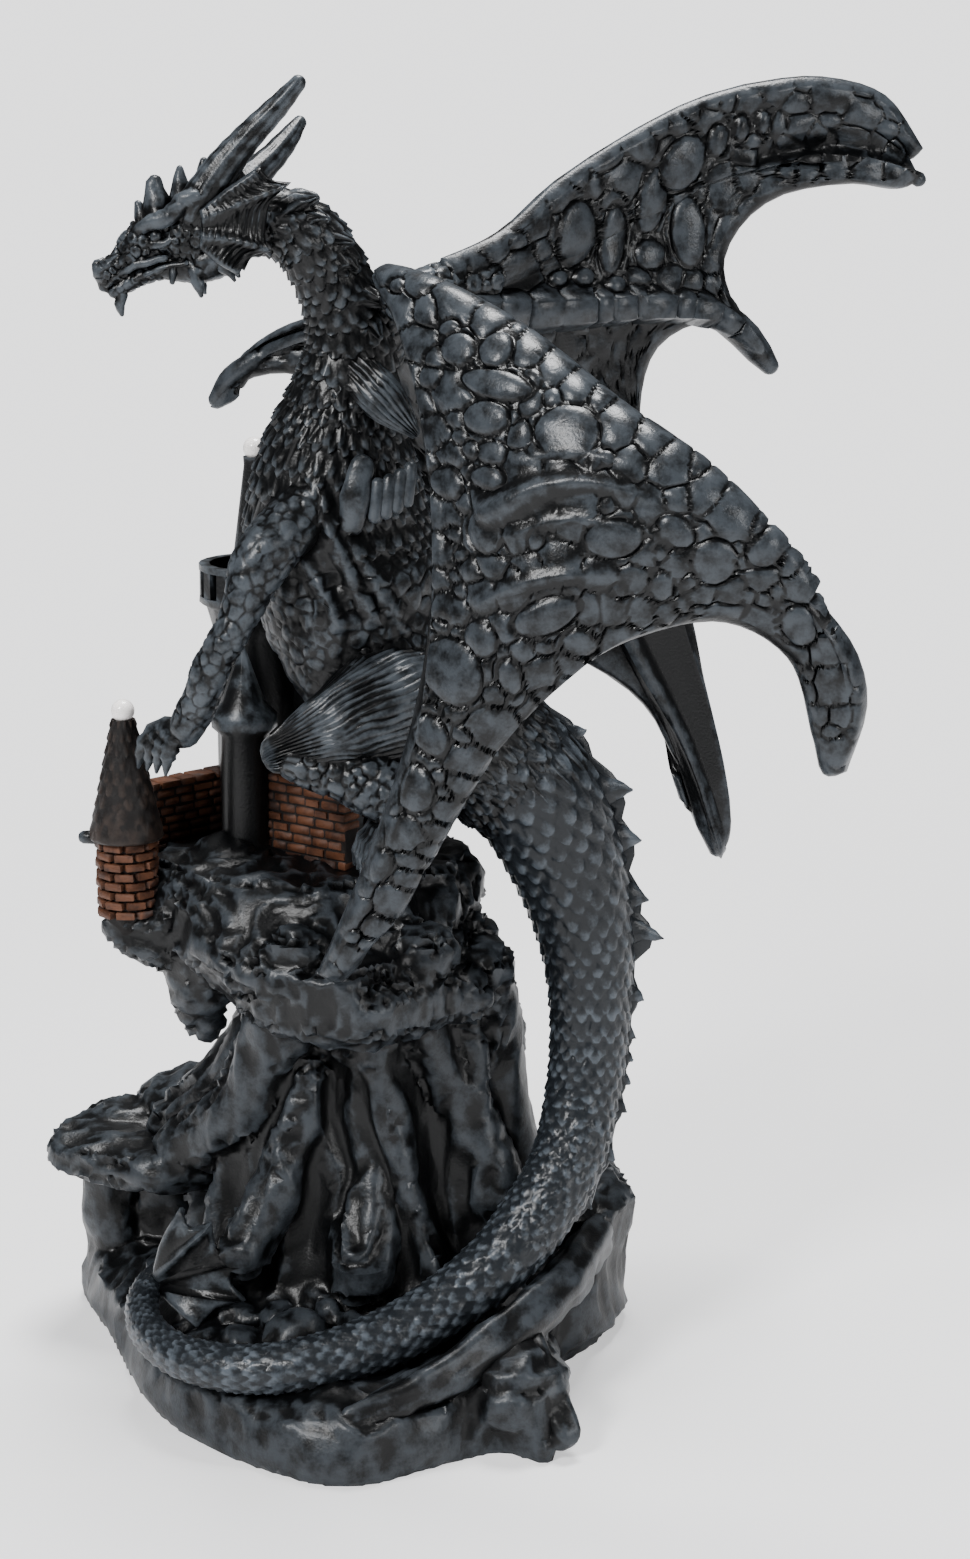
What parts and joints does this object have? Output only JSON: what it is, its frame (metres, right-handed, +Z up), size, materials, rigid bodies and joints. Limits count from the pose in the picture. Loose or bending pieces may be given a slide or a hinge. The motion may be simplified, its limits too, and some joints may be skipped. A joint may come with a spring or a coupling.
{
  "type": "dragon statue",
  "caption": "Cast resin dragon with spread wings and a long tail, clinging to a small brick castle on a rock plinth, with pearl beads on the castle roofs.",
  "frame": {"origin": "middle of the flat underside of the rock plinth", "axes": "+Z up, -X the way the dragon faces, -Y the dragon's left side"},
  "size_m": [0.2188, 0.1543, 0.312],
  "materials": {
    "black_resin": "black paint with a satin sheen, dry-brushed grey on the high points, with brick-red paint on the castle walls",
    "pearl": "glossy, milky white"
  },
  "bodies": {
    "root": {"dragon_statue": "black_resin", "turret_bead": "pearl", "keep_bead": "pearl"}
  },
  "joints": []
}
